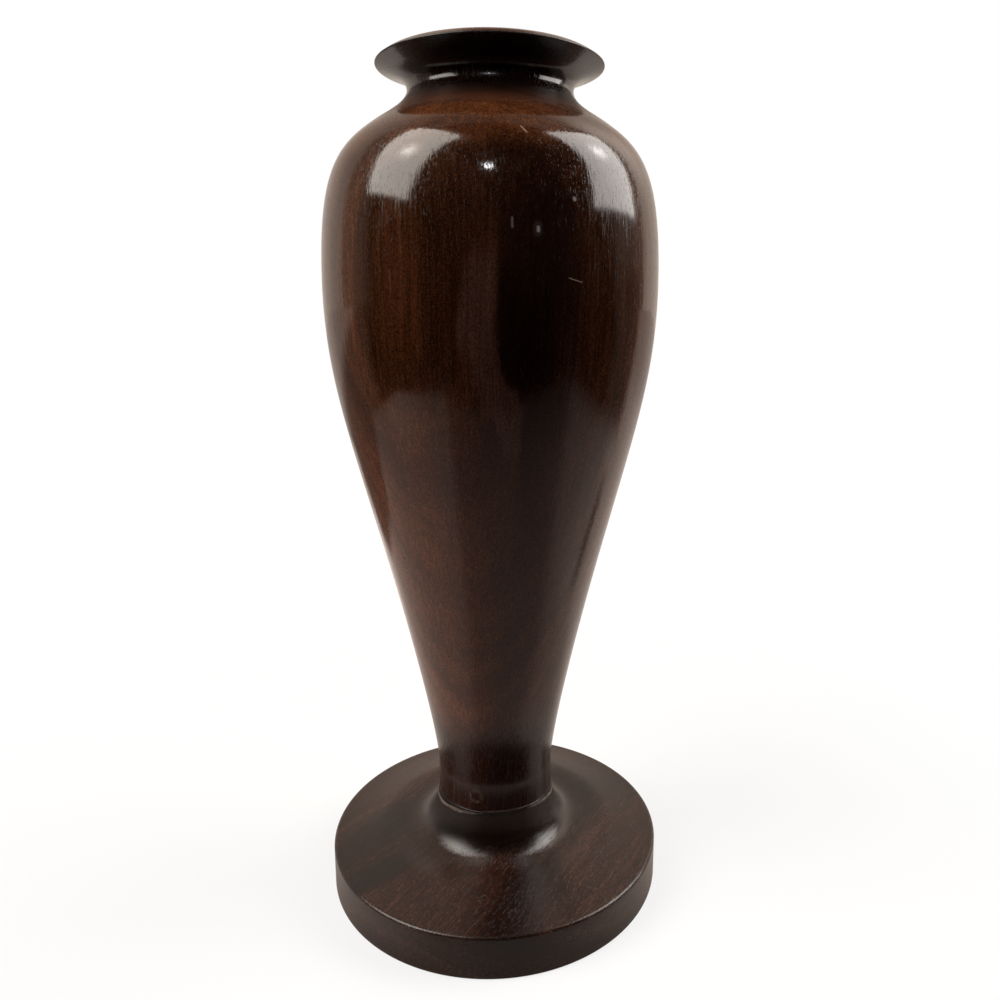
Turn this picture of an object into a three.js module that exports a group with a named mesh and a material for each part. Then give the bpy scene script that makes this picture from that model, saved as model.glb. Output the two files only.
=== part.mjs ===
// Turned wooden bud vase: a body turned from one upright billet, dowelled to a cross-grained foot.
// Millimetres, +Z up. The origin is the centre of the ring that the foot stands on.
import * as THREE from 'three';

// Heights, each measured from the station below it. Together they make the overall height of 231.2.
const footEdgeHeight = 11.6;
const footTopRise = 1.5;
const coveRise = 11.9;
const waistRise = 7.5;
const taperRise = 57.5;
const bellyRise = 83.6;
const shoulderRise = 39.4;
const neckRise = 9.7;
const lipRise = 6.15;
const lipEdge = 0.4;
const crestRise = 1.95;

// Radii of the outline.
const footRadius = 47.6;
const footBottomRadius = 47.5;
const coveRadius = 34.8;
const jointRadius = 16.75;
const waistRadius = 16.65;
const taperRadius = 28.8;
const bellyRadius = 45.65;
const shoulderRadius = 32.1;
const neckRadius = 22.3;
const lipRadius = 30.35;
const rimRadius = 30.4;
const crestRadius = 26.0;

// How far each station's tangent leans out from upright, in degrees, going up the outline.
const footTopLean = -86.5;
const coveLean = -81;
const collarLean = -12;
const stemLean = -2;
const taperLean = 14.7;
const shoulderLean = -54.5;
const lipLean = 70;
const rimLean = -55;
const crestLean = -90;
const throatLean = 18;

// Small rounds on the foot's edges.
const footTopArris = 0.9;
const footBottomArris = 0.6;

// Glass liner: a round-ended tube with a beaded rim.
const linerRadius = 12.5;
const linerWall = 1.2;
const linerLength = 148;
const beadRadius = 14.2;
const beadHeight = 1.8;
const beadInnerRound = 0.6;

// The mouth that it hangs in.
const linerClearance = 0.35;
const boreEndClearance = 2.0;
const throatAboveNeck = 2.4;
const counterboreDepth = 3.4;

// Fluted dowel in the joint between body and foot.
const dowelRadius = 6.0;
const dowelLength = 40;
const dowelChamfer = 1.0;
const fluteDepth = 0.45;
const fluteCount = 16;
const glueClearance = 0.1;
const dowelEndClearance = 0.5;

// Baize disc in a turned recess under the foot.
const baizeRadius = 40.4;
const baizeThickness = 1.3;
const baizeSetBack = 0.3;
const recessClearance = 0.4;

// Facets round each piece.
const woodFacets = 48;
const glassFacets = 32;

// Heights of the stations above the table.
const coveZ = footEdgeHeight + footTopRise;
const jointZ = coveZ + coveRise;
const waistZ = jointZ + waistRise;
const taperZ = waistZ + taperRise;
const bellyZ = taperZ + bellyRise;
const shoulderZ = bellyZ + shoulderRise;
const neckZ = shoulderZ + neckRise;
const lipZ = neckZ + lipRise;
const rimZ = lipZ + lipEdge;
const topZ = rimZ + crestRise;
const throatZ = neckZ + throatAboveNeck;
const seatZ = throatZ - counterboreDepth;

// A station is a point of the outline with its tangent. pullBelow and pullAbove say how far the curve follows the
// tangent on each side, as shares of the chord to the next station.
function station(radius, z, leanDegrees, pullBelow, pullAbove) {
  const lean = THREE.MathUtils.degToRad(leanDegrees);
  return {
    point: new THREE.Vector2(radius, z),
    direction: new THREE.Vector2(Math.sin(lean), Math.cos(lean)),
    pullBelow,
    pullAbove,
  };
}

const footTop = station(footRadius - footTopArris, footEdgeHeight, footTopLean, 0, 0.33);
const cove = station(coveRadius, coveZ, coveLean, 0.33, 0.607);
const collar = station(jointRadius, jointZ, collarLean, 0.756, 0);
const stem = station(jointRadius, jointZ, stemLean, 0, 0.4);
const waist = station(waistRadius, waistZ, 0, 0.5, 0.13);
const taper = station(taperRadius, taperZ, taperLean, 0.4, 0.49);
const belly = station(bellyRadius, bellyZ, 0, 0.315, 0.67);
const shoulder = station(shoulderRadius, shoulderZ, shoulderLean, 0.245, 0.3);
const neck = station(neckRadius, neckZ, 0, 0.29, 0.33);
const lip = station(lipRadius, lipZ, lipLean, 0.4, 0.6);
const rim = station(rimRadius, rimZ, rimLean, 0.6, 0.37);
const crest = station(crestRadius, topZ, crestLean, 0.35, 0);
const throat = station(beadRadius + linerClearance, throatZ, throatLean, 0, 0.22);
const mouth = station(crestRadius, topZ, -crestLean, 0.5, 0);

// The smooth stretch of the outline from one station up to the next.
function stretch(lower, upper, steps) {
  const chord = lower.point.distanceTo(upper.point);
  const curve = new THREE.CubicBezierCurve(
    lower.point,
    lower.point.clone().addScaledVector(lower.direction, lower.pullAbove * chord),
    upper.point.clone().addScaledVector(upper.direction, -upper.pullBelow * chord),
    upper.point,
  );
  return curve.getPoints(steps);
}

function at(radius, z) {
  return new THREE.Vector2(radius, z);
}

// A circular arc of the outline, its angles in degrees from the outward radius.
function arc(centreRadius, centreZ, radius, fromDegrees, toDegrees, steps) {
  const from = THREE.MathUtils.degToRad(fromDegrees);
  const to = THREE.MathUtils.degToRad(toDegrees);
  const curve = new THREE.EllipseCurve(centreRadius, centreZ, radius, radius, from, to, to < from);
  return curve.getPoints(steps);
}

// Joins stretches of outline into one list, without the point that two neighbours share.
function outline(...stretches) {
  const shared = 1e-6;
  return stretches.flat().filter((point, index, all) => {
    return index === 0 || point.distanceTo(all[index - 1]) > shared;
  });
}

// A solid turned about the Z axis from its outline, which runs from the axis, up the outside and back to the axis.
function turned(points, facets) {
  const geometry = new THREE.LatheGeometry(points, facets);
  geometry.rotateX(Math.PI / 2);
  return geometry;
}

function piece(name, geometry, material) {
  const mesh = new THREE.Mesh(geometry, material);
  mesh.name = name;
  return mesh;
}

const bodyWood = new THREE.MeshStandardMaterial({ color: 0x2b1610, roughness: 0.25, metalness: 0 });
const footWood = new THREE.MeshStandardMaterial({ color: 0x34201a, roughness: 0.35, metalness: 0 });
const beech = new THREE.MeshStandardMaterial({ color: 0xc69a6b, roughness: 0.7, metalness: 0 });
const clearGlass = new THREE.MeshStandardMaterial({
  color: 0xdfe9e6,
  roughness: 0.05,
  metalness: 0,
  transparent: true,
  opacity: 0.35,
});
const greenBaize = new THREE.MeshStandardMaterial({ color: 0x24452c, roughness: 1, metalness: 0 });

const dowelHoleRadius = dowelRadius + glueClearance;
const dowelHoleDepth = dowelLength / 2 + dowelEndClearance;

// Body: dowel hole below, the whole outline up to the lip, the flared mouth, the counterbore and the liner's bore.
function vaseBody() {
  const boreRadius = linerRadius + linerClearance;
  const boreEndZ = seatZ + beadHeight - linerLength - boreEndClearance;
  const points = outline(
    [
      at(0, jointZ + dowelHoleDepth),
      at(dowelHoleRadius, jointZ + dowelHoleDepth),
      at(dowelHoleRadius, jointZ),
    ],
    stretch(stem, waist, 2),
    stretch(waist, taper, 6),
    stretch(taper, belly, 9),
    stretch(belly, shoulder, 8),
    stretch(shoulder, neck, 5),
    stretch(neck, lip, 6),
    stretch(lip, rim, 2),
    stretch(rim, crest, 4),
    stretch(throat, mouth, 6).reverse(),
    [
      at(throat.point.x, seatZ),
      at(boreRadius, seatZ),
      at(boreRadius, boreEndZ),
      at(0, boreEndZ),
    ],
  );
  return piece('vase_body', turned(points, woodFacets), bodyWood);
}

// Foot: recess below, standing ring, rounded edge, the cove that sweeps up to the joint, and the dowel hole.
function foot() {
  const recessZ = baizeSetBack + baizeThickness;
  const recessRadius = baizeRadius + recessClearance;
  const bottomCentre = footBottomRadius - footBottomArris;
  const topCentre = footTop.point.x;
  const points = outline(
    [
      at(0, recessZ),
      at(recessRadius, recessZ),
      at(recessRadius, 0),
    ],
    arc(bottomCentre, footBottomArris, footBottomArris, -90, 0, 2),
    arc(topCentre, footEdgeHeight - footTopArris, footTopArris, 0, 90, 3),
    stretch(footTop, cove, 2),
    stretch(cove, collar, 10),
    [
      at(dowelHoleRadius, jointZ),
      at(dowelHoleRadius, jointZ - dowelHoleDepth),
      at(0, jointZ - dowelHoleDepth),
    ],
  );
  return piece('foot', turned(points, woodFacets), footWood);
}

// Dowel: chamfered at both ends. Every other line of its surface is set in, which makes straight V flutes.
function jointDowel() {
  const lowZ = jointZ - dowelLength / 2;
  const highZ = jointZ + dowelLength / 2;
  const endRadius = dowelRadius - dowelChamfer;
  const facets = fluteCount * 2;
  const geometry = new THREE.LatheGeometry(
    [
      at(0, lowZ),
      at(endRadius, lowZ),
      at(dowelRadius, lowZ + dowelChamfer),
      at(dowelRadius, highZ - dowelChamfer),
      at(endRadius, highZ),
      at(0, highZ),
    ],
    facets,
  );
  const position = geometry.getAttribute('position');
  const shrink = (dowelRadius - fluteDepth) / dowelRadius;
  for (let i = 0; i < position.count; i += 1) {
    const radius = Math.hypot(position.getX(i), position.getZ(i));
    const angle = Math.atan2(position.getX(i), position.getZ(i));
    const line = Math.round((angle / (2 * Math.PI)) * facets);
    if (radius > endRadius + dowelChamfer / 2 && line % 2 !== 0) {
      position.setX(i, position.getX(i) * shrink);
      position.setZ(i, position.getZ(i) * shrink);
    }
  }
  geometry.rotateX(Math.PI / 2);
  return piece('joint_dowel', geometry, beech);
}

// Liner: round end, straight wall, and a bead whose flat underside sits on the counterbore's floor.
function glassLiner() {
  const topOfBeadZ = seatZ + beadHeight;
  const endCentreZ = topOfBeadZ - linerLength + linerRadius;
  const innerRadius = linerRadius - linerWall;
  const beadRound = beadHeight / 2;
  const innerRoundRadius = innerRadius + beadInnerRound;
  const points = outline(
    arc(0, endCentreZ, linerRadius, -90, 0, 6),
    [at(linerRadius, seatZ)],
    arc(beadRadius - beadRound, seatZ + beadRound, beadRound, -90, 90, 6),
    arc(innerRoundRadius, topOfBeadZ - beadInnerRound, beadInnerRound, 90, 180, 3),
    arc(0, endCentreZ, innerRadius, 0, -90, 6),
  );
  return piece('glass_liner', turned(points, glassFacets), clearGlass);
}

function baizePad() {
  const points = [
    at(0, baizeSetBack),
    at(baizeRadius, baizeSetBack),
    at(baizeRadius, baizeSetBack + baizeThickness),
    at(0, baizeSetBack + baizeThickness),
  ];
  return piece('baize_pad', turned(points, woodFacets), greenBaize);
}

const vase = new THREE.Group();
vase.add(vaseBody(), foot(), jointDowel(), glassLiner(), baizePad());

export default vase;
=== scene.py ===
# Turned wooden bud vase: finely turned surfaces, wood figure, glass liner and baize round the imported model.
# Sizes that shape a piece are in millimetres, as on a turner's drawing. Blender's own values are in metres.
import math

import bpy
from mathutils import Matrix, Vector, noise


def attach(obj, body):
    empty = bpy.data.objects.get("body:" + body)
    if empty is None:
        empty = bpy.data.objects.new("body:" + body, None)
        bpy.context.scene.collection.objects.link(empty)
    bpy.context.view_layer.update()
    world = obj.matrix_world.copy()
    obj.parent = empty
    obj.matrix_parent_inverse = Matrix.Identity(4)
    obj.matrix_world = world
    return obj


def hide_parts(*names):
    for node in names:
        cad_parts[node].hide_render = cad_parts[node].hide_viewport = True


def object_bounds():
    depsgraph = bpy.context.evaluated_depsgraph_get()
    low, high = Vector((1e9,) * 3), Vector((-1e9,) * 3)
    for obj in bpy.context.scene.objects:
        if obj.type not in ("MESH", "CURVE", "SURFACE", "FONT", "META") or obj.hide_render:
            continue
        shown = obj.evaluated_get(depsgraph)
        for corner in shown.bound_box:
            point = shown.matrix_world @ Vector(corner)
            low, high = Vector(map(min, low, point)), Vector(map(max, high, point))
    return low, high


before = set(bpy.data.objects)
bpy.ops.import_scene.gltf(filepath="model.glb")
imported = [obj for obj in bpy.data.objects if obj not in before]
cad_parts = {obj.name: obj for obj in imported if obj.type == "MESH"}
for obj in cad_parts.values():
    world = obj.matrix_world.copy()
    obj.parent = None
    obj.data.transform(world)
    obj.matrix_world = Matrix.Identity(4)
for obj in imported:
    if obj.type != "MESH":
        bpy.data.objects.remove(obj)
cad_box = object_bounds()

MM = 0.001

# Heights of the outline's stations above the table.
FOOT_EDGE_Z = 11.6
COVE_Z = FOOT_EDGE_Z + 1.5
JOINT_Z = COVE_Z + 11.9
WAIST_Z = JOINT_Z + 7.5
TAPER_Z = WAIST_Z + 57.5
BELLY_Z = TAPER_Z + 83.6
SHOULDER_Z = BELLY_Z + 39.4
NECK_Z = SHOULDER_Z + 9.7
LIP_Z = NECK_Z + 6.15
RIM_Z = LIP_Z + 0.4
TOP_Z = RIM_Z + 1.95
THROAT_Z = NECK_Z + 2.4
SEAT_Z = THROAT_Z - 3.4

# Radii of the outline.
FOOT_RADIUS = 47.6
FOOT_BOTTOM_RADIUS = 47.5
COVE_RADIUS = 34.8
JOINT_RADIUS = 16.75
WAIST_RADIUS = 16.65
TAPER_RADIUS = 28.8
BELLY_RADIUS = 45.65
SHOULDER_RADIUS = 32.1
NECK_RADIUS = 22.3
LIP_RADIUS = 30.35
RIM_RADIUS = 30.4
CREST_RADIUS = 26.0

FOOT_TOP_ARRIS = 0.9
FOOT_BOTTOM_ARRIS = 0.6
JOINT_EASE = 0.15

# The glass liner and the seat that it hangs in.
LINER_RADIUS = 12.5
LINER_WALL = 1.2
LINER_LENGTH = 148.0
BEAD_RADIUS = 14.2
BEAD_HEIGHT = 1.8
BEAD_INNER_ROUND = 0.6
LINER_CLEARANCE = 0.35
BORE_END_CLEARANCE = 2.0
SEAT_EASE = 0.3

DOWEL_HOLE_RADIUS = 6.1
DOWEL_HOLE_DEPTH = 20.5

BAIZE_RADIUS = 40.4
BAIZE_THICKNESS = 1.3
BAIZE_SET_BACK = 0.3
RECESS_CLEARANCE = 0.4

WOOD_SIDES = 192
GLASS_SIDES = 96


# Outlines

def station(radius, z, lean_degrees, pull_below, pull_above):
    """A point of the outline with its tangent, and how far the curve follows the tangent on each side."""
    lean = math.radians(lean_degrees)
    return Vector((radius, z)), Vector((math.sin(lean), math.cos(lean))), pull_below, pull_above


FOOT_TOP = station(FOOT_RADIUS - FOOT_TOP_ARRIS, FOOT_EDGE_Z, -86.5, 0, 0.33)
# Between the cove and the collar the curve is up to 0.4 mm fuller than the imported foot's.
COVE = station(COVE_RADIUS, COVE_Z, -81, 0.33, 0.40)
COLLAR = station(JOINT_RADIUS, JOINT_Z, -8, 0.75, 0)
STEM = station(JOINT_RADIUS, JOINT_Z, -2, 0, 0.4)
WAIST = station(WAIST_RADIUS, WAIST_Z, 0, 0.5, 0.13)
TAPER = station(TAPER_RADIUS, TAPER_Z, 14.7, 0.4, 0.49)
BELLY = station(BELLY_RADIUS, BELLY_Z, 0, 0.315, 0.67)
SHOULDER = station(SHOULDER_RADIUS, SHOULDER_Z, -54.5, 0.245, 0.3)
NECK = station(NECK_RADIUS, NECK_Z, 0, 0.29, 0.33)
LIP = station(LIP_RADIUS, LIP_Z, 70, 0.4, 0.6)
RIM = station(RIM_RADIUS, RIM_Z, -55, 0.6, 0.37)
CREST = station(CREST_RADIUS, TOP_Z, -90, 0.35, 0)
THROAT = station(BEAD_RADIUS + LINER_CLEARANCE, THROAT_Z, 18, 0, 0.22)
MOUTH = station(CREST_RADIUS, TOP_Z, 90, 0.5, 0)


def bezier(p0, p1, p2, p3, steps):
    points = []
    for i in range(steps + 1):
        t = i / steps
        s = 1 - t
        points.append(p0 * s ** 3 + p1 * (3 * s * s * t) + p2 * (3 * s * t * t) + p3 * t ** 3)
    return points


def stretch(lower, upper, steps):
    """The smooth stretch of the outline from one station up to the next."""
    start, start_along, _, pull_above = lower
    end, end_along, pull_below, _ = upper
    chord = (end - start).length
    leaving = start + start_along * pull_above * chord
    arriving = end - end_along * pull_below * chord
    return bezier(start, leaving, arriving, end, steps)


def arc(centre_radius, centre_z, radius, start_degrees, end_degrees, steps):
    points = []
    for i in range(steps + 1):
        angle = math.radians(start_degrees + (end_degrees - start_degrees) * i / steps)
        points.append(Vector((centre_radius + radius * math.cos(angle), centre_z + radius * math.sin(angle))))
    return points


def straight(start, end, steps):
    a, b = Vector(start), Vector(end)
    return [a.lerp(b, i / steps) for i in range(steps + 1)]


def chain(*stretches):
    """Joins stretches of outline into one list, without the point that two neighbours share."""
    same_point = 1e-5
    points = []
    for point in (p for part in stretches for p in part):
        if not points or (point - points[-1]).length > same_point:
            points.append(point)
    return points


# Meshes

def new_object(name, vertices, faces):
    sharp_edge = math.radians(35)
    mesh = bpy.data.meshes.new(name)
    mesh.from_pydata([v * MM for v in vertices], [], faces)
    mesh.validate()
    mesh.shade_smooth()
    mesh.set_sharp_from_angle(angle=sharp_edge)
    piece = bpy.data.objects.new(name, mesh)
    bpy.context.scene.collection.objects.link(piece)
    return piece


def turned(name, outline, sides, shape=None):
    """A closed solid turned about Z. Its outline runs from the axis, up the outside and back to the axis."""
    on_axis = 1e-6
    vertices = []
    rings = []
    for radius, z in outline:
        if radius < on_axis:
            rings.append([len(vertices)])
            vertices.append(Vector((0, 0, z)))
            continue
        ring = []
        for i in range(sides):
            angle = 2 * math.pi * i / sides
            point = Vector((radius * math.cos(angle), radius * math.sin(angle), z))
            ring.append(len(vertices))
            vertices.append(shape(point) if shape else point)
        rings.append(ring)
    faces = []
    for low, high in zip(rings, rings[1:]):
        for i in range(sides):
            j = (i + 1) % sides
            if len(low) == 1:
                faces.append((low[0], high[j], high[i]))
            elif len(high) == 1:
                faces.append((low[i], low[j], high[0]))
            else:
                faces.append((low[i], low[j], high[j], high[i]))
    return new_object(name, vertices, faces)


def hand_turned(point):
    """Takes the last trace of the tool off the perfect circle: a few hundredths of a millimetre inward."""
    depth = 0.035
    wave_across = 26
    wave_up = 19
    wave = Vector((point.x / wave_across, point.y / wave_across, point.z / wave_up))
    share = 0.5 + 0.5 * noise.noise(wave)
    radius = math.hypot(point.x, point.y)
    scale = 1 - depth * min(1, max(0, share)) / radius
    return Vector((point.x * scale, point.y * scale, point.z))


def make_body():
    bore_radius = LINER_RADIUS + LINER_CLEARANCE
    bore_end_z = SEAT_Z + BEAD_HEIGHT - LINER_LENGTH - BORE_END_CLEARANCE
    hole_end_z = JOINT_Z + DOWEL_HOLE_DEPTH
    throat_radius = THROAT[0].x
    eased = [p for p in stretch(STEM, WAIST, 26) if p.y > JOINT_Z + JOINT_EASE]
    outline = chain(
        straight((0, hole_end_z), (DOWEL_HOLE_RADIUS, hole_end_z), 2),
        straight((DOWEL_HOLE_RADIUS, hole_end_z), (DOWEL_HOLE_RADIUS, JOINT_Z), 4),
        straight((DOWEL_HOLE_RADIUS, JOINT_Z), (JOINT_RADIUS - JOINT_EASE, JOINT_Z), 4),
        arc(eased[0].x - JOINT_EASE, JOINT_Z + JOINT_EASE, JOINT_EASE, -90, 0, 4),
        eased,
        stretch(WAIST, TAPER, 44),
        stretch(TAPER, BELLY, 60),
        stretch(BELLY, SHOULDER, 52),
        stretch(SHOULDER, NECK, 30),
        stretch(NECK, LIP, 30),
        stretch(LIP, RIM, 8),
        stretch(RIM, CREST, 18),
        stretch(THROAT, MOUTH, 28)[::-1],
        straight(THROAT[0], (throat_radius, SEAT_Z + SEAT_EASE), 3),
        straight((throat_radius, SEAT_Z + SEAT_EASE), (throat_radius - SEAT_EASE, SEAT_Z), 1),
        straight((throat_radius - SEAT_EASE, SEAT_Z), (bore_radius, SEAT_Z), 1),
        straight((bore_radius, SEAT_Z), (bore_radius, bore_end_z), 24),
        straight((bore_radius, bore_end_z), (0, bore_end_z), 3),
    )
    return turned("turned_body", outline, WOOD_SIDES, hand_turned)


def make_foot():
    recess_z = BAIZE_SET_BACK + BAIZE_THICKNESS
    recess_radius = BAIZE_RADIUS + RECESS_CLEARANCE
    hole_end_z = JOINT_Z - DOWEL_HOLE_DEPTH
    bottom_round_radius = FOOT_BOTTOM_RADIUS - FOOT_BOTTOM_ARRIS
    top_round_z = FOOT_EDGE_Z - FOOT_TOP_ARRIS
    sweep = [p for p in stretch(COVE, COLLAR, 64) if p.y < JOINT_Z - JOINT_EASE]
    collar_round_radius = sweep[-1].x - JOINT_EASE
    outline = chain(
        straight((0, recess_z), (recess_radius, recess_z), 8),
        straight((recess_radius, recess_z), (recess_radius, 0), 2),
        straight((recess_radius, 0), (bottom_round_radius, 0), 3),
        arc(bottom_round_radius, FOOT_BOTTOM_ARRIS, FOOT_BOTTOM_ARRIS, -90, 0, 6),
        straight((FOOT_BOTTOM_RADIUS, FOOT_BOTTOM_ARRIS), (FOOT_RADIUS, top_round_z), 8),
        arc(FOOT_RADIUS - FOOT_TOP_ARRIS, top_round_z, FOOT_TOP_ARRIS, 0, 90, 8),
        stretch(FOOT_TOP, COVE, 14),
        sweep,
        arc(collar_round_radius, JOINT_Z - JOINT_EASE, JOINT_EASE, 0, 90, 4),
        straight((collar_round_radius, JOINT_Z), (DOWEL_HOLE_RADIUS, JOINT_Z), 4),
        straight((DOWEL_HOLE_RADIUS, JOINT_Z), (DOWEL_HOLE_RADIUS, hole_end_z), 4),
        straight((DOWEL_HOLE_RADIUS, hole_end_z), (0, hole_end_z), 2),
    )
    return turned("turned_foot", outline, WOOD_SIDES)


def make_liner():
    bead_top_z = SEAT_Z + BEAD_HEIGHT
    end_z = bead_top_z - LINER_LENGTH + LINER_RADIUS
    inner_radius = LINER_RADIUS - LINER_WALL
    bead_round = BEAD_HEIGHT / 2
    inner_round_radius = inner_radius + BEAD_INNER_ROUND
    outline = chain(
        arc(0, end_z, LINER_RADIUS, -90, 0, 18),
        straight((LINER_RADIUS, end_z), (LINER_RADIUS, SEAT_Z), 20),
        arc(BEAD_RADIUS - bead_round, SEAT_Z + bead_round, bead_round, -90, 90, 16),
        arc(inner_round_radius, bead_top_z - BEAD_INNER_ROUND, BEAD_INNER_ROUND, 90, 180, 6),
        straight((inner_radius, bead_top_z - BEAD_INNER_ROUND), (inner_radius, end_z), 20),
        arc(0, end_z, inner_radius, 0, -90, 18),
    )
    return turned("glass_tube", outline, GLASS_SIDES)


def make_baize():
    nap_depth = 0.12
    nap_spacing = 1.4
    edge_round = 0.35
    top_z = BAIZE_SET_BACK + BAIZE_THICKNESS

    def napped(point):
        if point.z > BAIZE_SET_BACK + edge_round:
            return point
        lift = nap_depth * (0.5 + 0.5 * noise.noise(point / nap_spacing))
        return Vector((point.x, point.y, point.z + max(0, lift)))

    outline = chain(
        straight((0, BAIZE_SET_BACK), (BAIZE_RADIUS - edge_round, BAIZE_SET_BACK), 60),
        arc(BAIZE_RADIUS - edge_round, BAIZE_SET_BACK + edge_round, edge_round, -90, 0, 4),
        straight((BAIZE_RADIUS, BAIZE_SET_BACK + edge_round), (BAIZE_RADIUS, top_z), 2),
        straight((BAIZE_RADIUS, top_z), (0, top_z), 6),
    )
    return turned("baize_disc", outline, WOOD_SIDES, napped)


def make_glue_line():
    """The thin, uneven smear of glue that was squeezed out of the joint, ran a little and was wiped."""
    sides = 300
    section_sides = 10
    sunk = 0.10
    film = 0.16
    half_width = 0.62
    run = 2.2
    unevenness = 0.22
    highest_azimuth = math.radians(12)
    skin_start_z = JOINT_Z - 6
    skin = [p for p in stretch(COVE, COLLAR, 64) if p.y > skin_start_z] + stretch(STEM, WAIST, 12)[1:]

    def skin_radius(z):
        for low, high in zip(skin, skin[1:]):
            if low.y <= z <= high.y:
                return low.x + (high.x - low.x) * (z - low.y) / (high.y - low.y)
        return JOINT_RADIUS

    vertices = []
    faces = []
    for i in range(sides):
        azimuth = 2 * math.pi * i / sides
        around = Vector((math.sin(azimuth), -math.cos(azimuth), 0))
        ragged = noise.noise(around * 4.3) + 0.6 * noise.noise(around * 13)
        middle = JOINT_Z - run * math.sin(azimuth - highest_azimuth) ** 2 + unevenness * ragged
        wide = half_width * (1 + 0.35 * noise.noise(around * 6.1 + Vector((3, 0, 0))))
        for j in range(section_sides):
            turn = 2 * math.pi * j / section_sides
            z = middle + wide * math.sin(turn)
            radius = skin_radius(z) - sunk + film * math.cos(turn)
            vertices.append(around * radius + Vector((0, 0, z)))
        for j in range(section_sides):
            a = i * section_sides + j
            b = i * section_sides + (j + 1) % section_sides
            c = ((i + 1) % sides) * section_sides
            faces.append((a, c + j, c + (j + 1) % section_sides, b))
    return new_object("glue_line", vertices, faces)


# Materials

class Graph:
    """Short calls for the nodes of one material, world or lamp."""

    def __init__(self, owner):
        owner.use_nodes = True
        self.tree = owner.node_tree
        self.tree.nodes.clear()

    def node(self, kind, **settings):
        made = self.tree.nodes.new("ShaderNode" + kind)
        for key, value in settings.items():
            setattr(made, key, value)
        return made

    def feed(self, socket, value):
        if isinstance(value, bpy.types.NodeSocket):
            self.tree.links.new(value, socket)
        else:
            socket.default_value = value

    def math(self, operation, *values, clamp=False):
        made = self.node("Math", operation=operation, use_clamp=clamp)
        for socket, value in zip(made.inputs, values):
            self.feed(socket, value)
        return made.outputs[0]

    def product(self, first, *rest):
        for value in rest:
            first = self.math("MULTIPLY", first, value)
        return first

    def largest(self, first, *rest):
        for value in rest:
            first = self.math("MAXIMUM", first, value)
        return first

    def swing(self, base, pattern, amount):
        """The base, moved up and down by a noise pattern."""
        return self.math("MULTIPLY_ADD", self.math("SUBTRACT", pattern, 0.5), amount, base)

    def dimmed(self, level, mask, depth):
        """The level, with that depth of it taken off where the mask is 1."""
        return self.product(level, self.math("MULTIPLY_ADD", self.product(mask, depth), -1.0, 1.0))

    def azimuth(self, x, y):
        """Degrees round the vase. 0 is the camera's side, and it grows to the right."""
        return self.math("DEGREES", self.math("ARCTAN2", x, self.product(y, -1.0)))

    def vector(self, operation, *values):
        made = self.node("VectorMath", operation=operation)
        for socket, value in zip(made.inputs, values):
            self.feed(socket, value)
        scalar = operation in {"DOT_PRODUCT", "LENGTH", "DISTANCE"}
        return made.outputs["Value" if scalar else "Vector"]

    def scaled(self, vector, sizes):
        return self.vector("MULTIPLY", vector, sizes)

    def times(self, vector, factor):
        made = self.node("VectorMath", operation="SCALE")
        self.feed(made.inputs[0], vector)
        self.feed(made.inputs["Scale"], factor)
        return made.outputs["Vector"]

    def parts(self, vector):
        made = self.node("SeparateXYZ")
        self.feed(made.inputs[0], vector)
        return made.outputs

    def joined(self, x, y, z=0.0):
        made = self.node("CombineXYZ")
        for socket, value in zip(made.inputs, (x, y, z)):
            self.feed(socket, value)
        return made.outputs[0]

    def noise(self, vector, scale=1.0, detail=2.0, roughness=0.5):
        made = self.node("TexNoise")
        self.feed(made.inputs["Vector"], vector)
        made.inputs["Scale"].default_value = scale
        made.inputs["Detail"].default_value = detail
        made.inputs["Roughness"].default_value = roughness
        return made.outputs[0]

    def bent(self, vector, sizes, reach):
        """The vector, moved every way by a slow noise."""
        made = self.node("TexNoise")
        self.feed(made.inputs["Vector"], self.scaled(vector, sizes))
        made.inputs["Scale"].default_value = 1.0
        drift = self.vector("SUBTRACT", made.outputs["Color"], (0.5, 0.5, 0.5))
        return self.vector("ADD", vector, self.times(drift, reach))

    def step(self, value, low, high, first=0.0, last=1.0):
        """Eases from first to last as value goes from low to high."""
        made = self.node("MapRange", interpolation_type="SMOOTHSTEP")
        for name, given in (
            ("Value", value), ("From Min", low), ("From Max", high), ("To Min", first), ("To Max", last),
        ):
            self.feed(made.inputs[name], given)
        return made.outputs["Result"]

    def band(self, value, rise, fall):
        """1 between the rise and the fall. Each of them is two values to ease between."""
        return self.product(self.step(value, *rise), self.step(value, *fall, 1.0, 0.0))

    def near(self, value, middle, inner, outer, first=1.0, last=0.0):
        """Eases from first to last as value goes from inner to outer away from the middle, on both sides."""
        away = self.math("ABSOLUTE", self.math("SUBTRACT", value, middle))
        return self.step(away, inner, outer, first, last)

    def ramp(self, factor, stops):
        made = self.node("ValToRGB")
        self.feed(made.inputs[0], factor)
        elements = made.color_ramp.elements
        while len(elements) < len(stops):
            elements.new(0.5)
        for element, (place, colour) in zip(elements, stops):
            element.position = place
            element.color = (*colour, 1)
        return made.outputs["Color"]

    def blend(self, factor, first, second, mode="MIX"):
        made = self.node("Mix", data_type="RGBA", blend_type=mode)
        self.feed(made.inputs[0], factor)
        for socket, colour in zip(made.inputs[6:8], (first, second)):
            self.feed(socket, (*colour, 1) if isinstance(colour, tuple) else colour)
        return made.outputs[2]

    def tint(self, weight, colour, factors):
        """The colour, with its channels multiplied by the factors where the weight is 1."""
        return self.blend(weight, colour, self.blend(1.0, colour, factors, "MULTIPLY"))

    def bump(self, height, metres):
        made = self.node("Bump")
        made.inputs["Strength"].default_value = 1.0
        made.inputs["Distance"].default_value = metres
        self.feed(made.inputs["Height"], height)
        return made.outputs["Normal"]

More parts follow.
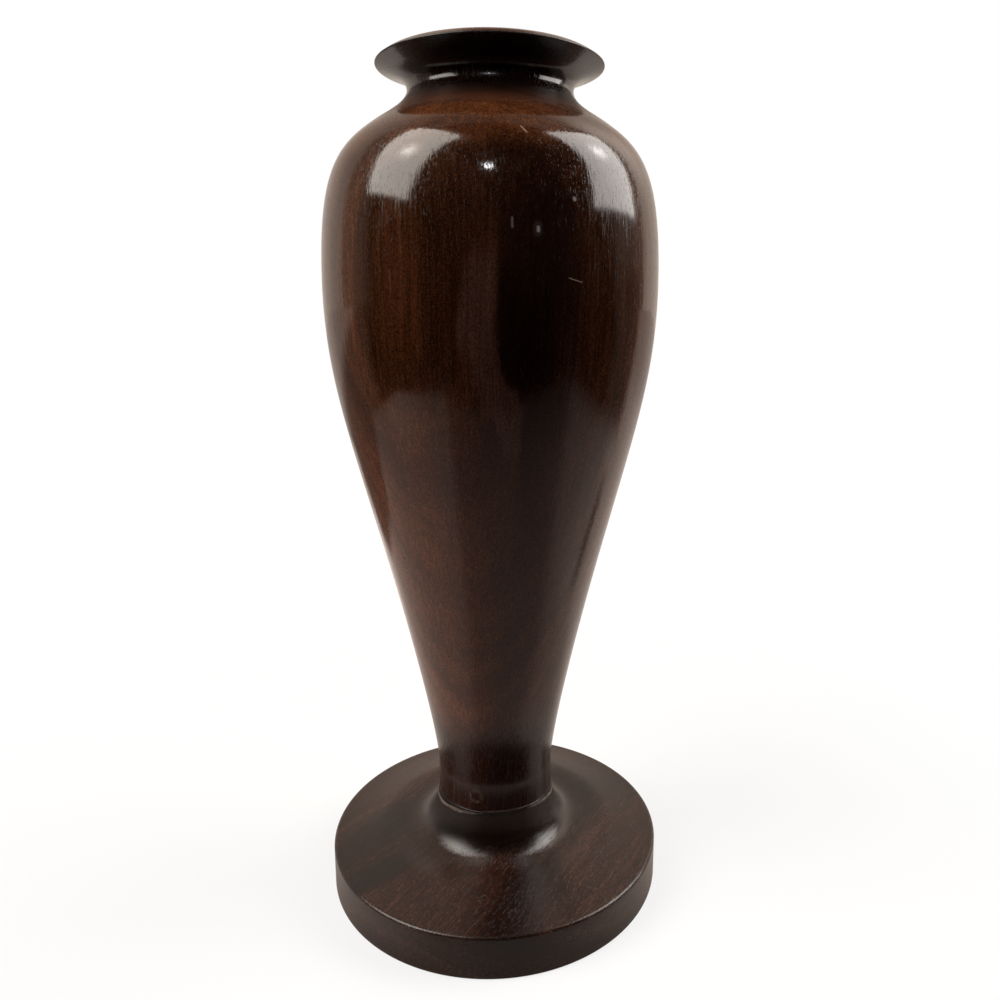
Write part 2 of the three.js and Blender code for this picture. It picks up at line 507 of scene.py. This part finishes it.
    def principled(self, **values):
        made = self.node("BsdfPrincipled")
        for name, value in values.items():
            self.feed(made.inputs[name.replace("_", " ")], value)
        return made

    def emission(self, colour, strength):
        made = self.node("Emission")
        made.inputs["Color"].default_value = (*colour, 1)
        self.feed(made.inputs["Strength"], strength)
        return made

    def output(self, shader, kind="OutputMaterial"):
        made = self.node(kind)
        self.feed(made.inputs["Surface"], shader.outputs[0])


def new_material(name):
    material = bpy.data.materials.new(name)
    return material, Graph(material)


def object_millimetres(g):
    """The point in the piece's own millimetres."""
    return g.times(g.node("TexCoord").outputs["Object"], 1 / MM)


def radius_of(g, point):
    """The point's distance from the vase's axis."""
    return g.vector("LENGTH", g.scaled(point, (1.0, 1.0, 0.0)))


def streak_mask(g, point, start, end, width):
    """1 on a straight scratch between two points, easing to 0 at its width."""
    full_share = 0.35
    a, b = Vector(start), Vector(end)
    line = b - a
    from_a = g.vector("SUBTRACT", point, tuple(a))
    reach = g.vector("DOT_PRODUCT", from_a, tuple(line))
    along = g.math("DIVIDE", reach, line.length_squared, clamp=True)
    gap = g.vector("DISTANCE", from_a, g.times(tuple(line), along))
    return g.step(gap, width * full_share, width, 1.0, 0.0)


def pale_sides(g, colour, azimuth, z):
    """Paler wood to each side of the dark heart. Low down on the left the colour is lighter as well."""
    left = g.step(azimuth, -55.0, -30.0, 1.0, 0.0)
    right = g.step(azimuth, 40.0, 58.0)
    granular = g.product(g.step(azimuth, -40.0, -31.0), g.step(azimuth, -25.0, -19.0, 0.5, 0.0))
    pale = g.product(g.largest(left, right, granular), g.step(z, 70.0, 130.0, 0.25, 0.9))
    colour = g.tint(pale, colour, (2.0, 1.9, 1.8))
    low_left = g.product(g.step(z, 95.0, 150.0, 1.0, 0.0), g.step(azimuth, -26.0, 16.0, 1.0, 0.12))
    return g.tint(low_left, colour, (1.95, 1.78, 1.6))


def dark_heart(g, colour, azimuth, z, fibres):
    """The nearly black heart in front, and a leaf of pinkish wood that runs down along its left edge."""
    from_heart = g.math("SUBTRACT", azimuth, g.step(z, 142.0, 154.0, 8.6, 1.8))
    heart = g.product(
        g.step(from_heart, -2.0, 2.5),
        g.step(azimuth, 16.0, 31.0, 1.0, 0.0),
        g.step(z, 82.0, 158.0, 0.08, 0.86),
        g.step(z, 166.0, 200.0, 1.0, 0.15),
    )
    purple = g.blend(g.step(azimuth, 8.0, 24.0), (0.0045, 0.0010, 0.0007), (0.0120, 0.0048, 0.0036))
    colour = g.blend(heart, colour, purple)

    # The leaf's left edge, in degrees. It lies furthest left at one height, and comes in below and above.
    widest_z = 162.0
    widest = 13.7
    slope_below = 0.47
    slope_above = 0.33
    below = g.math("MULTIPLY_ADD", z, -slope_below, slope_below * widest_z)
    above = g.math("MULTIPLY_ADD", z, slope_above, -slope_above * widest_z)
    edge = g.math("SUBTRACT", g.largest(below, above), widest)
    leaf = g.product(
        g.step(g.math("SUBTRACT", azimuth, edge), -0.5, 5.0),
        g.step(from_heart, -2.0, 1.0, 1.0, 0.0),
        g.band(z, (124.0, 134.0), (172.0, 184.0)),
        g.step(fibres, 0.25, 0.65, 0.45, 0.85),
    )
    return g.blend(leaf, colour, (0.076, 0.035, 0.027))


def marks_and_painted_glints(g, colour, point):
    """Two pale scratches, a round water mark low on the stem, a dark nick on the taper and some painted
    glints.
    """
    scratches = g.largest(
        streak_mask(g, point, (6.8, -38.7, 206.4), (8.1, -39.5, 205.0), 0.28),
        streak_mask(g, point, (17.6, -42.1, 172.5), (20.6, -40.7, 171.6), 0.17),
    )
    colour = g.blend(g.product(scratches, 0.8), colour, (0.30, 0.21, 0.15))

    from_mark = g.vector("DISTANCE", point, (-5.5, -15.8, 29.4))
    patchy = g.noise(point, scale=1.6, detail=2)
    ring = g.product(g.band(from_mark, (0.9, 1.5), (1.9, 2.4)), g.step(patchy, 0.35, 0.60))
    colour = g.blend(g.product(ring, 0.7), colour, (0.085, 0.060, 0.048))

    nick = streak_mask(g, point, (33.0, -17.3, 121.3), (33.2, -16.1, 119.9), 0.6)
    colour = g.blend(nick, colour, (0.003, 0.0012, 0.0008))

    # Painted glints above the belly, where tiny dents would catch a lamp. The middle one sits in a paler
    # painted haze.
    glint_haze = streak_mask(g, point, (10.4, -44.4, 184.0), (10.4, -44.4, 182.6), 1.5)
    colour = g.blend(g.product(glint_haze, 0.14), colour, (0.16, 0.14, 0.16))
    painted_glints = g.largest(
        streak_mask(g, point, (10.5, -44.4, 183.6), (10.5, -44.4, 182.9), 0.62),
        g.product(streak_mask(g, point, (4.6, -45.1, 185.6), (4.6, -45.1, 183.6), 0.40), 0.35),
        streak_mask(g, point, (19.0, -40.9, 190.4), (19.0, -40.9, 190.2), 0.78),
    )
    return g.blend(g.product(painted_glints, 0.9), colour, (0.36, 0.33, 0.34)), scratches


def body_wood():
    material, g = new_material("body_wood")
    point = object_millimetres(g)
    x, y, z = g.parts(point)

    # Layers round a pith behind the vase, with fibres drawn out upwards.
    pith_x = 14.0
    pith_y = 64.0
    bent = g.bent(point, (0.014, 0.014, 0.0045), 22.0)
    bent_x, bent_y, _ = g.parts(bent)
    from_pith = g.joined(g.math("SUBTRACT", bent_x, pith_x), g.math("SUBTRACT", bent_y, pith_y))
    layer = g.vector("LENGTH", from_pith)
    bands = g.noise(g.joined(g.product(layer, 0.16), 0.0), detail=4, roughness=0.6)
    fibres = g.noise(g.scaled(bent, (1.1, 1.1, 0.022)), detail=5, roughness=0.65)
    speckle = g.noise(g.scaled(point, (2.4, 2.4, 1.1)), detail=2, roughness=0.7)
    figure = 0.5
    for pattern, amount in ((bands, 1.5), (fibres, 0.85), (speckle, 0.55)):
        figure = g.swing(figure, pattern, amount)
    colour = g.ramp(
        figure,
        (
            (0.10, (0.010, 0.0030, 0.0011)),
            (0.40, (0.027, 0.0086, 0.0032)),
            (0.62, (0.049, 0.0168, 0.0067)),
            (0.95, (0.104, 0.0410, 0.0180)),
        ),
    )

    # What changes round the vase does so along edges that follow the grain.
    wobble = g.noise(g.scaled(point, (0.05, 0.05, 0.018)), detail=3)
    ragged = g.noise(g.scaled(point, (0.30, 0.30, 0.030)), detail=3)
    azimuth = g.azimuth(x, y)
    for pattern, degrees in ((wobble, 12.0), (ragged, 9.0), (fibres, 6.0)):
        azimuth = g.swing(azimuth, pattern, degrees)
    colour = pale_sides(g, colour, azimuth, z)
    colour = dark_heart(g, colour, azimuth, z, fibres)

    # Lower down the whole front turns a dull reddish brown.
    dusk = g.product(
        g.step(z, 126.0, 156.0, 0.85, 0.0),
        g.step(azimuth, -60.0, -35.0, 0.3, 1.0),
        g.step(azimuth, 30.0, 58.0, 1.0, 0.0),
    )
    colour = g.blend(dusk, colour, (0.0265, 0.0092, 0.0088), "ADD")

    # Below the shoulder's top the front is darker in the middle.
    cap = g.product(g.band(z, (176.0, 190.0), (200.0, 204.0)), g.near(azimuth, 6.0, 12.0, 24.0))
    colour = g.tint(cap, colour, (0.70, 0.70, 0.82))

    # Fine grain, dark hairlines that are strongest on the taper, and pores.
    grit = g.noise(g.scaled(point, (2.9, 2.9, 1.9)), detail=2, roughness=0.7)
    grain = g.ramp(grit, ((0.34, (0.55, 0.50, 0.45)), (0.66, (1.50, 1.50, 1.55))))
    colour = g.blend(1.0, colour, grain, "MULTIPLY")
    hairs = g.noise(g.scaled(bent, (2.6, 2.6, 0.045)), detail=2, roughness=0.6)
    hair_mask = g.product(g.step(hairs, 0.52, 0.62), g.step(z, 110.0, 165.0, 0.55, 0.20))
    colour = g.tint(hair_mask, colour, (0.45, 0.42, 0.42))
    pores = g.noise(g.scaled(point, (4.6, 4.6, 0.55)), detail=1)
    pore_mask = g.step(pores, 0.34, 0.27)
    colour = g.blend(g.product(pore_mask, 0.6), colour, (0.006, 0.0020, 0.0010))

    # The foot of the neck is paler and orange, and the rim's top has painted light on it. Under the lip
    # the wood is darkened as painted shade, and the stem is darker.
    orange = g.product(
        g.step(z, 200.5, 206.5),
        g.step(z, 211.5, 217.0, 1.0, 0.15),
        g.near(azimuth, 0.0, 16.0, 44.0, 0.85, 0.30),
    )
    colour = g.tint(orange, colour, (2.4, 2.3, 2.0))
    radius = radius_of(g, point)
    outside = g.step(g.math("MULTIPLY_ADD", radius, -0.6, z), 211.6, 212.4, 1.0, 0.0)
    # Painted shade: under the lip the wood's colour is darkened.
    underside = g.product(g.step(z, 215.0, 219.5), outside)
    colour = g.tint(underside, colour, (0.22, 0.22, 0.34))
    # Painted light: the top of the rim is lightened, as if lit from above.
    rim_painted_light = g.product(g.step(z, 228.9, 229.5), g.step(radius, 26.0, 28.5))
    colour = g.tint(rim_painted_light, colour, (2.0, 1.8, 1.7))
    stem = g.step(z, 44.0, 56.0, 1.0, 0.0)
    colour = g.tint(stem, colour, (0.27, 0.27, 0.33))
    colour, scratches = marks_and_painted_glints(g, colour, point)

    # The lacquer is brushed upright. It is duller in the pores and scratches, round the neck, under the lip
    # and on the stem.
    handled = g.noise(g.scaled(point, (0.03, 0.03, 0.03)), detail=3)
    brushed = g.noise(g.scaled(point, (2.2, 2.2, 0.09)), detail=2, roughness=0.6)
    gloss = g.math("ADD", g.step(handled, 0.35, 0.7, 0.055, 0.090), g.step(brushed, 0.50, 0.72, 0.0, 0.20))
    neck = g.band(z, (211.0, 215.0), (218.5, 221.0))
    rubbed = g.product(g.near(azimuth, 0.0, 12.0, 20.0), g.step(z, 215.0, 218.0), 0.4)
    for place, rougher in (
        (pore_mask, 0.30), (g.largest(neck, rubbed), 0.22), (underside, 0.04), (stem, 0.08), (scratches, 0.4),
    ):
        gloss = g.math("MULTIPLY_ADD", place, rougher, gloss)

    ripples = g.noise(g.scaled(point, (0.9, 0.9, 0.10)), detail=3, roughness=0.6)
    relief = g.math("MULTIPLY_ADD", fibres, 0.4, g.math("MULTIPLY_ADD", pore_mask, -0.25, ripples))
    g.output(g.principled(Base_Color=colour, Roughness=gloss, IOR=1.5, Normal=g.bump(relief, 0.000028)))
    return material


def foot_wood():
    material, g = new_material("foot_wood")
    point = object_millimetres(g)
    grain_turn = math.radians(-55)
    turn = g.node("VectorRotate", rotation_type="Z_AXIS")
    g.feed(turn.inputs["Vector"], point)
    g.feed(turn.inputs["Angle"], grain_turn)
    board = turn.outputs[0]

    # Layers round a pith below the foot, with fibres drawn out along the board.
    pith_depth = 46.0
    bent = g.bent(board, (0.010, 0.022, 0.022), 16.0)
    _, bent_y, bent_z = g.parts(bent)
    layer = g.vector("LENGTH", g.joined(0.0, bent_y, g.math("ADD", bent_z, pith_depth)))
    bands = g.noise(g.joined(g.product(layer, 0.17), 0.0), detail=4, roughness=0.6)
    fibres = g.noise(g.scaled(bent, (0.05, 1.3, 1.3)), detail=5, roughness=0.65)
    speckle = g.noise(g.scaled(point, (2.2, 2.2, 2.2)), detail=2, roughness=0.7)
    figure = 0.5
    for pattern, amount in ((bands, 1.3), (fibres, 1.2), (speckle, 0.5)):
        figure = g.swing(figure, pattern, amount)
    colour = g.ramp(
        figure,
        (
            (0.10, (0.009, 0.0034, 0.0021)),
            (0.42, (0.021, 0.0080, 0.0048)),
            (0.66, (0.036, 0.0145, 0.0088)),
            (0.95, (0.068, 0.0300, 0.0190)),
        ),
    )
    grit = g.noise(g.scaled(board, (0.9, 3.2, 3.2)), detail=2, roughness=0.7)
    grain = g.ramp(grit, ((0.34, (0.42, 0.38, 0.36)), (0.66, (1.60, 1.60, 1.62))))
    colour = g.blend(1.0, colour, grain, "MULTIPLY")
    pores = g.noise(g.scaled(board, (0.50, 4.4, 4.4)), detail=1)
    pore_mask = g.step(pores, 0.36, 0.29)
    colour = g.blend(g.product(pore_mask, 0.6), colour, (0.006, 0.0026, 0.0018))

    # Dark streaks along the grain on the left and in front, and painted shade darkening the collar.
    stained = g.largest(
        g.product(streak_mask(g, point, (-43.0, -15.0, 12.0), (-27.0, 4.0, 12.0), 7.0), 0.20),
        g.product(streak_mask(g, point, (-39.0, -27.0, 12.0), (-28.0, -21.0, 12.0), 6.0), 0.75),
    )
    colour = g.blend(stained, colour, (0.0075, 0.0055, 0.0045))
    middle = streak_mask(g, point, (3.0, -47.0, 12.0), (11.0, -31.0, 12.0), 15.0)
    colour = g.tint(g.product(middle, 0.9), colour, (0.45, 0.43, 0.46))
    radius = radius_of(g, point)
    # Painted shade: the collar, where the foot rises to the stem, is darkened.
    collar = g.step(radius, 19.0, 22.0, 1.0, 0.0)
    colour = g.tint(collar, colour, (0.28, 0.26, 0.26))

    satin = g.step(radius, 26.0, 36.0, 0.19, 0.22)
    relief = g.math("MULTIPLY_ADD", pore_mask, -0.2, fibres)
    g.output(g.principled(Base_Color=colour, Roughness=satin, IOR=1.5, Normal=g.bump(relief, 0.00009)))
    return material


def beech():
    material, g = new_material("dowel_beech")
    point = object_millimetres(g)
    fibres = g.noise(g.scaled(point, (1.4, 1.4, 0.05)), detail=4, roughness=0.6)
    flecks = g.noise(g.scaled(point, (2.6, 2.6, 0.30)), detail=1)
    colour = g.ramp(fibres, ((0.25, (0.40, 0.24, 0.12)), (0.75, (0.62, 0.42, 0.25))))
    colour = g.blend(g.step(flecks, 0.62, 0.70, 0.0, 0.6), colour, (0.33, 0.18, 0.085))
    g.output(g.principled(Base_Color=colour, Roughness=0.7, Normal=g.bump(fibres, 0.0001)))
    return material


def clear_glass():
    material, g = new_material("liner_glass")
    point = object_millimetres(g)
    draw_lines = g.noise(g.scaled(point, (0.35, 0.35, 0.012)), detail=2)
    g.output(g.principled(
        Base_Color=(0.93, 0.975, 0.96, 1),
        Roughness=0.015,
        IOR=1.5,
        Transmission_Weight=1.0,
        Normal=g.bump(draw_lines, 0.00006),
    ))
    return material


def green_baize():
    material, g = new_material("baize")
    point = object_millimetres(g)
    clumps = g.noise(point, scale=0.5, detail=5, roughness=0.7)
    fuzz = g.noise(point, scale=4.0, detail=2, roughness=0.8)
    colour = g.ramp(clumps, ((0.3, (0.014, 0.050, 0.020)), (0.7, (0.030, 0.092, 0.040))))
    colour = g.blend(g.step(fuzz, 0.55, 0.75, 0.0, 0.5), colour, (0.060, 0.140, 0.070))
    g.output(g.principled(
        Base_Color=colour,
        Roughness=0.95,
        Sheen_Weight=0.6,
        Sheen_Roughness=0.4,
        Normal=g.bump(fuzz, 0.0002),
    ))
    return material


def old_glue():
    """Wiped nearly away in front, and pale where it was left at the sides."""
    material, g = new_material("old_glue")
    point = object_millimetres(g)
    patches = g.noise(point, scale=0.7, detail=4, roughness=0.7)
    x, y, _ = g.parts(point)
    sides = g.near(g.azimuth(x, y), 5.0, 15.0, 50.0, 0.0, 1.0)
    wiped = g.ramp(patches, ((0.35, (0.014, 0.009, 0.007)), (0.65, (0.050, 0.038, 0.033))))
    smeared = g.ramp(patches, ((0.35, (0.055, 0.038, 0.031)), (0.65, (0.200, 0.160, 0.140))))
    colour = g.blend(sides, wiped, smeared)
    g.output(g.principled(Base_Color=colour, Roughness=0.5, Normal=g.bump(patches, 0.00015)))
    return material


def set_material(piece, material):
    piece.data.materials.clear()
    piece.data.materials.append(material)


# The studio

WARM_WHITE = (1.0, 0.87, 0.75)
WARM_SHEET = (1.0, 0.86, 0.76)
WHITE = (1.0, 1.0, 1.0)

# The height that the lamps are aimed at, and the soft boxes' distance, in metres.
LAMP_AIM = Vector((0, 0, 195 * MM))
SOFT_BOX_DISTANCE = 1.6


def seen_directly(g):
    """1 on what the camera sees, also through the glass."""
    path = g.node("LightPath").outputs
    return g.largest(path["Is Camera Ray"], path["Is Transmission Ray"])


def sheet_light(g, x, y, from_vase):
    """How much light each place of the sheet has: most behind the vase, and least in front of it."""
    forward = g.product(y, -1.0)
    side_fall = g.step(y, 30.0, 100.0, 0.68, 1.0)
    light = g.product(
        g.step(g.math("ABSOLUTE", x), 120.0, 350.0, 1.0, side_fall),
        g.step(forward, -120.0, 330.0, 1.0, 0.40),
        g.step(from_vase, 350.0, 900.0, 1.0, 0.75),
    )

    # The shadow in front of the vase widens towards the camera, more on the right than on the left.
    left_edge = g.math("MULTIPLY_ADD", forward, -0.58, -6.0)
    right_edge = g.math("MULTIPLY_ADD", forward, 1.3, 20.0)
    shadow = g.product(
        g.step(g.math("SUBTRACT", x, left_edge), -16.0, 16.0),
        g.step(g.math("SUBTRACT", x, right_edge), -30.0, 40.0, 1.0, 0.0),
        g.step(forward, 30.0, 60.0),
    )
    light = g.dimmed(light, shadow, g.step(forward, 40.0, 260.0, 0.42, 0.68))

    def bright_patch(centre_x, centre_y, outer, level):
        gap = g.vector("DISTANCE", g.joined(x, y), (centre_x, centre_y, 0.0))
        return g.step(gap, 20.0, outer, level, 0.0)

    light = g.math("ADD", light, bright_patch(-115.0, 225.0, 150.0, 0.55))
    light = g.product(light, g.step(from_vase, 48.0, 56.0, 0.6, 1.0))
    right_of_foot = g.product(g.band(x, (50.0, 80.0), (112.0, 135.0)), g.near(y, 0.0, 30.0, 70.0))
    light = g.dimmed(light, right_of_foot, 0.20)
    right_front = g.product(g.step(x, 30.0, 100.0), g.step(forward, 10.0, 70.0))
    light = g.dimmed(light, right_front, 0.18)
    light = g.math("ADD", light, bright_patch(-320.0, -145.0, 140.0, 0.32))

    # A crease of the sheet throws a narrow shadow on the right.
    crease_y = g.math("MULTIPLY_ADD", x, 0.58, -59.0)
    crease = g.near(y, crease_y, 6.0, 20.0, 0.75, 0.0)
    return g.dimmed(light, crease, g.band(x, (115.0, 175.0), (225.0, 275.0)))


def sheet_edges(g, point, x, y):
    """1 on the sheet, and the dim level beyond it.

    The sheet ends before the camera. On each side it ends at a gap, which is dark near the vase.
    """
    waves = g.noise(g.scaled(point, (0.016, 0.016, 0.0)), detail=2)
    wavy_forward = g.swing(g.product(y, -1.0), waves, 90.0)
    front_end = g.step(wavy_forward, 250.0, 305.0, 1.0, 0.0)
    left_limit = g.math("ADD", g.step(y, 40.0, 75.0, -372.0, -203.0), g.step(y, 240.0, 450.0, 0.0, -90.0))
    bulge = g.product(g.step(y, 85.0, 150.0, 0.0, 40.0), g.step(y, 205.0, 260.0, 1.0, 0.3))
    cut_corner = g.step(g.math("ADD", x, y), -532.0, -488.0)
    on_left = g.step(g.math("SUBTRACT", x, g.math("ADD", left_limit, bulge)), -18.0, 18.0)
    on_left = g.product(on_left, cut_corner)
    right_limit = g.largest(g.math("MULTIPLY_ADD", y, 2.0, 60.0), 340.0)
    on_right = g.step(g.math("SUBTRACT", x, right_limit), -60.0, 60.0, 1.0, 0.0)
    beyond_left = g.product(g.math("SUBTRACT", 1.0, on_left), g.step(y, 330.0, 700.0, 0.13, 0.60))
    beyond_right = g.product(g.math("SUBTRACT", 1.0, on_right), 0.10)
    beyond = g.product(g.math("ADD", beyond_left, beyond_right), g.step(y, -60.0, 40.0))
    return g.product(on_left, on_right, front_end), beyond


def make_floor():
    half_width = 3.0
    signs = ((-1, -1), (1, -1), (1, 1), (-1, 1))
    corners = [(across * half_width, along * half_width, 0) for across, along in signs]
    mesh = bpy.data.meshes.new("floor")
    mesh.from_pydata(corners, [], [(0, 1, 2, 3)])
    floor = bpy.data.objects.new("floor", mesh)
    bpy.context.scene.collection.objects.link(floor)
    floor.location.z = cad_box[0][2]
    material, g = new_material("floor_sheet")
    point = object_millimetres(g)
    x, y, _ = g.parts(point)
    from_vase = g.vector("LENGTH", g.joined(x, y))

    # What the vase's gloss sees: a white sheet, unevenly lit.
    full_level = 0.76
    on_sheet, beyond = sheet_edges(g, point, x, y)
    light = g.product(sheet_light(g, x, y, from_vase), on_sheet)
    reflected = g.emission(WARM_SHEET, g.math("MULTIPLY_ADD", light, full_level, beyond))

    # What the camera and the glass see: the same sheet at white, with the vase's soft shadow on it.
    matt = g.node("BsdfDiffuse")
    matt.inputs["Color"].default_value = (0.86, 0.86, 0.86, 1)
    shown = g.node("MixShader")
    by_ray = g.node("MixShader")
    for mixer, share, first, second in (
        (shown, g.step(from_vase, 50.0, 240.0, 0.24, 0.0), g.emission(WHITE, 1.0), matt),
        (by_ray, seen_directly(g), reflected, shown),
    ):
        g.feed(mixer.inputs[0], share)
        g.feed(mixer.inputs[1], first.outputs[0])
        g.feed(mixer.inputs[2], second.outputs[0])
    g.output(by_ray)
    set_material(floor, material)
    return floor


def make_world():
    """White to the camera and through the glass. The gloss sees a backdrop behind the vase and a dim room.

    The backdrop dims upwards. It has a dark gap straight behind the vase, high up, and is brightest at its
    right end.
    """
    world = bpy.data.worlds.new("studio")
    bpy.context.scene.world = world
    g = Graph(world)
    x, y, z = g.parts(g.node("TexCoord").outputs["Generated"])
    azimuth = g.azimuth(x, y)
    height = g.math("DEGREES", g.math("ARCSINE", z))

    left_lean = g.step(height, 28.0, 44.0, 0.0, 9.0)
    on_left = g.step(g.math("ADD", azimuth, left_lean), -116.0, -113.0, 1.0, 0.0)
    on_backdrop = g.largest(on_left, g.step(azimuth, 119.5, 122.5))
    backdrop = g.product(g.step(height, 12.0, 28.0, 0.74, 0.58), g.step(height, 45.0, 75.0, 1.0, 0.35))
    straight_behind = g.largest(g.step(azimuth, 166.5, 169.5), g.step(azimuth, -173.5, -170.5, 1.0, 0.0))
    backdrop = g.dimmed(backdrop, g.product(straight_behind, g.step(height, 40.0, 46.0)), 0.8)
    right_end = g.product(
        g.band(azimuth, (121.0, 125.0), (128.0, 158.0)),
        g.step(height, 8.0, 32.0, 0.15, 1.25),
        g.step(height, 44.0, 62.0, 1.0, 0.0),
    )
    backdrop = g.math("ADD", backdrop, right_end)

    wall = g.step(height, -2.0, 9.0, g.step(azimuth, -1.0, 1.0, 0.25, 0.09), 0.27)
    room = g.step(g.math("ABSOLUTE", azimuth), 83.0, 92.0, 0.006, wall)
    level = g.math("MULTIPLY_ADD", on_backdrop, g.math("SUBTRACT", backdrop, room), room)
    direct = seen_directly(g)
    light = g.node("Background")
    g.feed(light.inputs["Color"], g.blend(direct, WARM_WHITE, WHITE))
    g.feed(light.inputs["Strength"], g.largest(level, direct))
    g.output(light, "OutputWorld")


def towards(azimuth_degrees, elevation_degrees):
    """The direction from the vase to a lamp. Azimuth 0 is the camera's side, and grows to the right."""
    azimuth = math.radians(azimuth_degrees)
    elevation = math.radians(elevation_degrees)
    return Vector((
        math.sin(azimuth) * math.cos(elevation),
        -math.cos(azimuth) * math.cos(elevation),
        math.sin(elevation),
    ))


def new_lamp(name, shape):
    lamp = bpy.data.lights.new(name, "AREA")
    lamp.shape = shape
    lamp_object = bpy.data.objects.new(name, lamp)
    lamp_object.visible_camera = False
    bpy.context.scene.collection.objects.link(lamp_object)
    return lamp, lamp_object


def soft_box(name, direction, offset, size, hot, edges, radiance, tint):
    """A soft lamp whose cloth is brighter where the bulb behind it is.

    Places on the cloth are in metres across and up from the line to the vase. Each of the edges is one or
    more lines (across, up, limit): the cloth is lit where across * u + up * v is below the limit of any of
    them.
    """
    hot_radiance = 10.0
    hot_radius = 0.12
    softness = 0.03
    across = Vector((0, 0, 1)).cross(direction).normalized()
    upward = direction.cross(across)
    lamp, lamp_object = new_lamp(name, "RECTANGLE")
    lamp.size, lamp.size_y = size
    lamp.energy = math.pi * size[0] * size[1]
    turn = Matrix((across, upward, direction)).transposed().to_4x4()
    place = LAMP_AIM + direction * SOFT_BOX_DISTANCE + across * offset[0] + upward * offset[1]
    lamp_object.matrix_world = Matrix.Translation(place) @ turn

    g = Graph(lamp)
    parametric_u, parametric_v, _ = g.parts(g.node("NewGeometry").outputs["Parametric"])
    u = g.math("MULTIPLY_ADD", parametric_u, size[0], offset[0] - size[0] / 2)
    v = g.math("MULTIPLY_ADD", parametric_v, size[1], offset[1] - size[1] / 2)
    from_hot = g.math("DIVIDE", g.vector("DISTANCE", g.joined(u, v), (*hot, 0.0)), hot_radius)
    glow = g.math("EXPONENT", g.product(g.math("POWER", from_hot, 2.0), -1.0))
    level = g.math("MULTIPLY_ADD", glow, hot_radiance, radiance)
    for lines in edges:
        lit = 0.0
        for across_share, up_share, limit in lines:
            reach = g.math("MULTIPLY_ADD", u, across_share, g.math("MULTIPLY_ADD", v, up_share, -limit))
            lit = g.largest(lit, g.step(reach, -softness, softness, 1.0, 0.0))
        level = g.product(level, lit)
    g.output(g.emission(tint, level), "OutputLight")


def small_lamp(direction, radiance):
    """A small round lamp with a grid over it, which keeps its light off the foot.

    Blender shares a lamp's power over the grid's cone, so the power is divided by what the cone gathers.
    """
    half_cone = math.radians(7)
    gathered = math.tan(half_cone) / (math.tan(half_cone) - half_cone)
    lamp, lamp_object = new_lamp("small_lamp", "DISK")
    lamp.size = 0.066
    lamp.spread = 2 * half_cone
    lamp.energy = math.pi * math.pi * (lamp.size / 2) ** 2 * radiance / gathered
    lamp_object.location = LAMP_AIM + direction
    lamp_object.rotation_euler = direction.to_track_quat("Z", "Y").to_euler()


def make_lamps():
    soft_box(
        "left_soft_box",
        towards(-75, 40),
        offset=(0.050, 0.130),
        size=(1.060, 1.520),
        hot=(0.081, 0.112),
        edges=(
            ((-1.0, -0.07, 0.46),),
            ((-0.25, 1.0, 0.80),),
            ((-1.07, 1.0, 1.105),),
            ((1.0, 0.0, 0.56),),
            ((0.0, -1.0, 0.61),),
        ),
        radiance=6.2,
        tint=(1.0, 0.94, 0.86),
    )
    soft_box(
        "right_soft_box",
        towards(90, 30),
        offset=(0.035, 0.290),
        size=(1.230, 1.720),
        hot=(0.173, 0.272),
        edges=(
            ((1.0, 0.0, 0.62),),
            ((-0.142, -1.0, 0.46),),
            ((-1.0, 0.40, 0.39), (-1.0, 0.13, 0.363)),
            ((0.67, 1.0, 1.01),),
        ),
        radiance=5.9,
        tint=(1.0, 0.95, 0.91),
    )
    small_lamp(towards(-2.5, 36.6), radiance=60)


def make_camera():
    degrees_down = 7.91
    degrees_right = 2.93
    camera = bpy.data.cameras.new("camera")
    camera.sensor_width = 36.0
    camera.lens = 29.79
    camera.shift_x = -0.0348
    camera.shift_y = -0.0799
    camera.clip_start = 0.005
    camera_object = bpy.data.objects.new("camera", camera)
    bpy.context.scene.collection.objects.link(camera_object)
    camera_object.location = (0, -0.2325, 0.1664)
    camera_object.rotation_euler = (math.radians(90 - degrees_down), 0, math.radians(-degrees_right))
    bpy.context.scene.camera = camera_object


def main():
    bpy.context.scene.view_settings.view_transform = "Standard"
    make_camera()
    make_lamps()
    make_world()
    make_floor()

    pieces = (
        (make_body(), "vase", "vase_body", body_wood()),
        (make_foot(), "vase", "foot", foot_wood()),
        (make_liner(), "liner", "glass_liner", clear_glass()),
        (make_baize(), "vase", "baize_pad", green_baize()),
    )
    for piece, body, node, material in pieces:
        set_material(piece, material)
        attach(piece, body)
        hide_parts(node)

    glue = make_glue_line()
    set_material(glue, old_glue())
    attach(glue, "vase")

    set_material(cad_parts["joint_dowel"], beech())


main()
